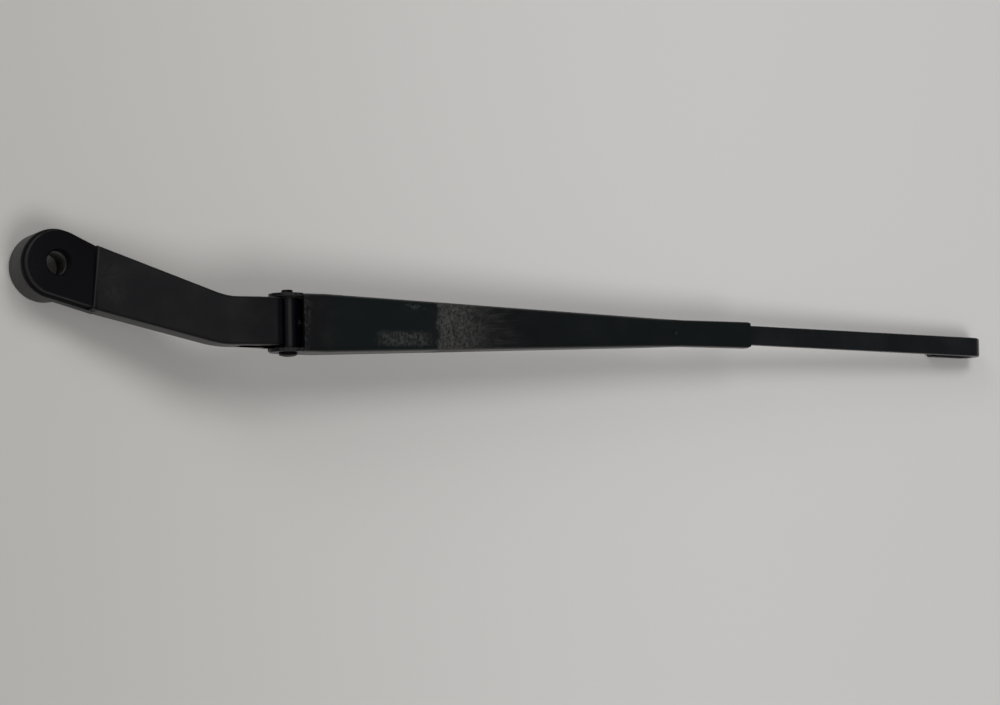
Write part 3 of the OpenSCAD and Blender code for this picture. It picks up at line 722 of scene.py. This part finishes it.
# One section of the bar, at a pitch and a yaw, with its end edges drawn in by shrink
def barRing(x, y, z, pitch, yaw, shrink=0.0, thick=bar["t"]):
    b = bar
    r = b["edge"]
    outline = []
    for k, (sy, sz) in enumerate(((1, 1), (-1, 1), (-1, -1), (1, -1))):
        for i in range(6):
            a = math.pi / 2 * (k + i / 5)
            outline.append((sy * (b["w"] / 2 - r) + (r - shrink) * math.cos(a),
                            sz * (thick / 2 - r) + (r - shrink) * math.sin(a)))
    ring = []
    for v, w in outline:
        dx, dz = -w * math.sin(pitch), w * math.cos(pitch)
        px, py = x + dx + v * math.sin(yaw), y + v * math.cos(yaw)
        ring.append(toPart(px, py, z + dz))
    return ring


def flatBar():
    b = bar
    yaw = math.radians(b["set"])
    start = b["tongueX"] - b["tongueEnd"]
    thin = b["tongueT"]
    nearEdge, farEdge = b["endEdge"]
    rings = [barRing(start, 0, b["tongueZ"], 0, 0, nearEdge, thin),
             barRing(start + nearEdge, 0, b["tongueZ"], 0, 0, 0, thin)]
    stepStart, stepEnd = b["step"]
    for i in range(9):
        t = i / 8
        rings.append(barRing(b["tongueX"] + stepStart + (stepEnd - stepStart) * t, 0,
                             b["tongueZ"] + (b["z"] - b["tongueZ"]) * ease(0, 1, t),
                             math.radians(b["stepPitch"]) * math.sin(math.pi * t), 0, 0, thin + (b["t"] - thin) * t))
    rings.append(barRing(b["free"], 0, b["z"], 0, 0))

    def setOff(d, z, pitch, shrink=0.0):
        return barRing(b["free"] + d * math.cos(yaw), -d * math.sin(yaw), z, pitch, yaw, shrink)

    length = arm["hookX"] - b["free"]
    middle = arm["hookR"] + b["t"] / 2
    for d in (3, 20, 45, 75, 100, length - 2):
        rings.append(setOff(d, b["z"], 0))
    for i in range(33):
        a = math.pi * i / 32
        rings.append(setOff(length + middle * math.sin(a), b["z"] - middle + middle * math.cos(a), -a))
    for d in (5, 10, b["tail"] - farEdge):
        rings.append(setOff(length - d, b["z"] - 2 * middle, -math.pi))
    rings.append(setOff(length - b["tail"], b["z"] - 2 * middle, -math.pi, farEdge))
    bm = bmesh.new()
    skin(bm, rings)
    made = solid(bm, "flat_bar", barPaint)
    cuts = []
    r = b["holeR"] * mm
    for x, z in ((b["tongueX"], b["tongueZ"]), (sheet["crimp"] - sheet["stakeBack"], b["z"])):
        bm = bmesh.new()
        bmesh.ops.create_cone(bm, cap_ends=True, segments=40, radius1=r, radius2=r, depth=30 * mm)
        bm.transform(Matrix.Translation(Vector(toPart(x, 0, z)) * mm)
                     @ Matrix.Rotation(math.radians(arm["slope"]), 4, "Y"))
        cuts.append(solid(bm, "hole", barPaint))
    combined(made, cuts, "DIFFERENCE")
    sharpened(made)
    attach(made, "arm")
    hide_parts("hook_bar")


flatBar()
print("bar made")


# The rivet across the hinge: a domed head on the near side, a peened end on the far side
pin = {"r": sheet["pinR"], "face": sheet["wideHalf"], "headR": 4.1, "rim": 0.75, "dome": 1.15, "rimEdge": 0.12,
       "peened": [(0.0, 1.4), (-0.12, 1.65), (-0.4, 1.78), (-1.2, 1.8), (-2.5, 1.72)]}


def rivet():
    p = pin
    profile = [(0, -p["face"] - p["rim"] - p["dome"])]
    for a in (12, 24, 36, 48, 60, 72, 82, 90):
        a = math.radians(a)
        profile.append((p["headR"] * math.sin(a), -p["face"] - p["rim"] - p["dome"] * math.cos(a)))
    profile += [(p["headR"], -p["face"] - p["rimEdge"]), (p["headR"] - p["rimEdge"], -p["face"]),
                (p["r"], -p["face"])] + [(p["r"] + dr, p["face"] + dz) for dr, dz in p["peened"]]
    bm = bmesh.new()
    spun(bm, profile, 72)
    bm.transform(Matrix.Translation(Vector((arm["reach"], -arm["offset"], arm["hinge"])) * mm)
                 @ Matrix.Rotation(-math.pi / 2, 4, "X"))
    made = finished(bm, "rivet", pinPaint, "arm", 40)
    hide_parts("hinge_pin")


rivet()
print("rivet made")

# The stamped link: an open hook on the anchor pin, a bow that clears the hinge barrel, an eye for the spring
link = {"t": 2.5, "hookIn": 1.95, "hookOut": 4.55, "bowIn": 6.05, "bowOut": 9.05, "bowTurn": 58.2, "shank": 2.6,
        "eyeR": 3.8, "holeR": 2.0, "edge": 0.3}


def stampedLink():
    ax, az = turned(*spring["anchor"], arm["slope"])
    lean = math.degrees(math.atan2(spring["tongue"][1] - az, spring["tongue"][0] - ax))
    bx, bz = turned(-spring["anchor"][0], -spring["anchor"][1], arm["slope"] - lean - link["bowTurn"])

    def place(points):
        moved = []
        for x, z in points:
            x, z = turned(x, z, lean)
            moved.append((ax + x, az + z))
        return moved

    def piece(points, thickness=link["t"]):
        return plate(place(points), thickness, 0, "stamped_link", linkSteel, arm["slope"])

    made = piece(arc(0, 0, link["hookOut"], 108, 305, 40) + arc(0, 0, link["hookIn"], 305, 108, 32))
    bow = piece(arc(bx, bz, link["bowOut"], 193, 350, 40) + arc(bx, bz, link["bowIn"], 350, 193, 32))
    start = bx + link["bowIn"] + 0.1
    shank = piece([(start, -link["shank"]), (spring["linkL"], -link["shank"]), (spring["linkL"], link["shank"]),
                   (start, link["shank"])])
    eye = piece(arc(spring["linkL"], 0, link["eyeR"], 0, 351, 39))
    combined(made, [bow, shank, eye], "UNION")
    combined(made, [piece(arc(spring["linkL"], 0, link["holeR"], 0, 348, 29), 6)], "DIFFERENCE")
    sharpened(made)
    rounded(made, link["edge"])
    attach(made, "link")
    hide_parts("spring_link")


stampedLink()
print("link made")

# Table, light and camera; a dome is brightest over the head, with a plain backdrop that only the camera sees; the
# table is painted darker towards -X as a falloff of light
studio = {
    "table": 6, "under": 0.0002, "tableX": (-0.16, 0.36), "tableShadedEnd": (0.48, 0.472, 0.45, 1),
    "tableLitEnd": (0.655, 0.64, 0.625, 1), "tableRough": 0.75,
    "domeUp": (-0.35, 0, 0.94), "dome": (0.5, 1.05, 0.3), "horizon": 0.13, "backdrop": 0.6,
    "lens": 118.8, "sensor": 36, "clip": 20, "cameraAt": (-0.412091, -0.160091, 1.370645),
    "cameraTurn": (5.5, -24.5, -1.678), "cameraRoll": 0.25,
}
# Place, aim, size, power, and whether glossy rays see it
lamps = {
    "soft near": ((0.22, -0.85, 1.95), (0.22, 0, 0), 0.9, 14, False),
    "soft far": ((0.22, 0.85, 1.95), (0.22, 0, 0), 0.9, 14, False),
    "far left": ((-1.2, 1.45, 1.3), (0.25, 0, 0), 1.1, 9, True),
}
scene = bpy.context.scene

bm = bmesh.new()
bmesh.ops.create_grid(bm, x_segments=1, y_segments=1, size=studio["table"])
table = finished(bm, "table", bpy.data.materials.new("table"), None)
table.location = (0, 0, -studio["under"])
tablePaint = table.data.materials[0]
tablePaint.use_nodes = True
tablePaint.node_tree.nodes.clear()
flat = Wire(tablePaint.node_tree)
# Painted light falloff: the table's colour runs from darker at -X to lighter at +X
paintedFalloff = flat.node("TexCoord", out=3).axis(0).rise(*studio["tableX"]).mix(studio["tableShadedEnd"], studio["tableLitEnd"])
paint = flat.node("BsdfPrincipled", {"Base Color": paintedFalloff, "Roughness": studio["tableRough"]})
flat.node("OutputMaterial", {"Surface": paint})

world = bpy.data.worlds.new("studio")
scene.world = world
world.use_nodes = True
world.node_tree.nodes.clear()
sky = Wire(world.node_tree)
height = sky.node("VectorMath", {0: sky.node("TexCoord"), 1: studio["domeUp"]}, 1, operation="DOT_PRODUCT")
seen = sky.node("LightPath")
glow = (height.rise(*studio["dome"]) + studio["horizon"]) * (1 - seen) + seen * studio["backdrop"]
sky.node("OutputWorld", {"Surface": sky.node("Background", {"Color": (1, 1, 1, 1), "Strength": glow})})

# Lamps that no glossy ray sees keep the dark tops dark
for name, (place, aim, size, power, shines) in lamps.items():
    data = bpy.data.lights.new(name, "AREA")
    data.shape = "DISK"
    data.size = size
    data.energy = power
    lamp = bpy.data.objects.new(name, data)
    scene.collection.objects.link(lamp)
    lamp.location = place
    lamp.rotation_euler = (Vector(aim) - Vector(place)).to_track_quat("-Z", "Y").to_euler()
    lamp.visible_glossy = shines

scene.view_settings.view_transform = "Standard"
lens = bpy.data.cameras.new("camera")
lens.lens = studio["lens"]
lens.sensor_width = studio["sensor"]
lens.clip_end = studio["clip"]
camera = bpy.data.objects.new("camera", lens)
scene.collection.objects.link(camera)
camera.location = studio["cameraAt"]
camera.rotation_euler = [math.radians(a) for a in studio["cameraTurn"]]
camera.rotation_euler.rotate_axis("Z", math.radians(studio["cameraRoll"]))
scene.camera = camera
print("stage made")
